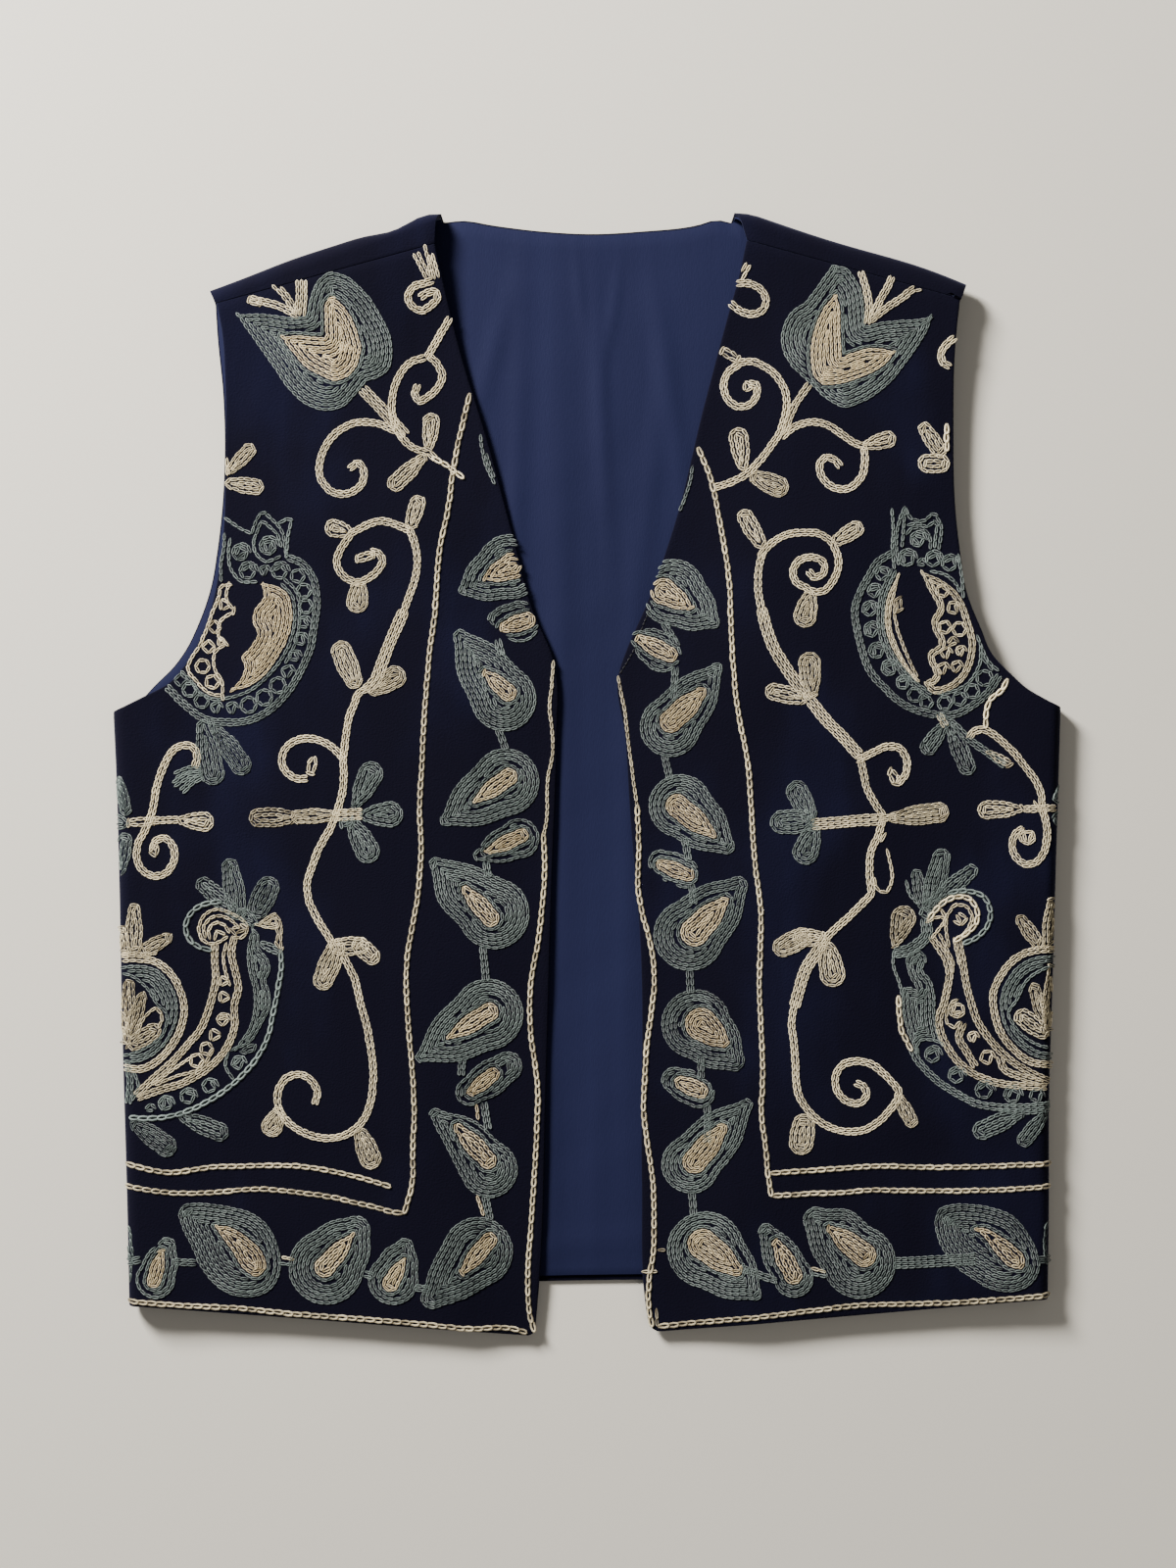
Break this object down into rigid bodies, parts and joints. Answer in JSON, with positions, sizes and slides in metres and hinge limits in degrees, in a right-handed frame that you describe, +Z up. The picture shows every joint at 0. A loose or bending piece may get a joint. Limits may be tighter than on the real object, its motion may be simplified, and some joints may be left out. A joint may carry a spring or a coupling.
{
  "type": "waistcoat",
  "caption": "Sleeveless, collarless velvet waistcoat laid flat, open in front over its lining, with embroidered fronts.",
  "frame": {"origin": "on the surface that the garment lies on, under the middle of its bounding box", "axes": "+X towards the wearer's left, +Y from hem to neck, +Z up from the surface, out of the fronts"},
  "size_m": [0.513, 0.611, 0.014],
  "materials": {
    "velvet": "dark navy cotton velvet with a soft brushed nap",
    "lining": "plain blue sateen lining with a low sheen",
    "cream_thread": "matt cream chain-stitch thread",
    "teal_thread": "matt grey-teal chain-stitch thread"
  },
  "bodies": {
    "root": {"back": "velvet", "back_lining": "lining", "right_front": "velvet", "left_front": "velvet"}
  },
  "joints": []
}
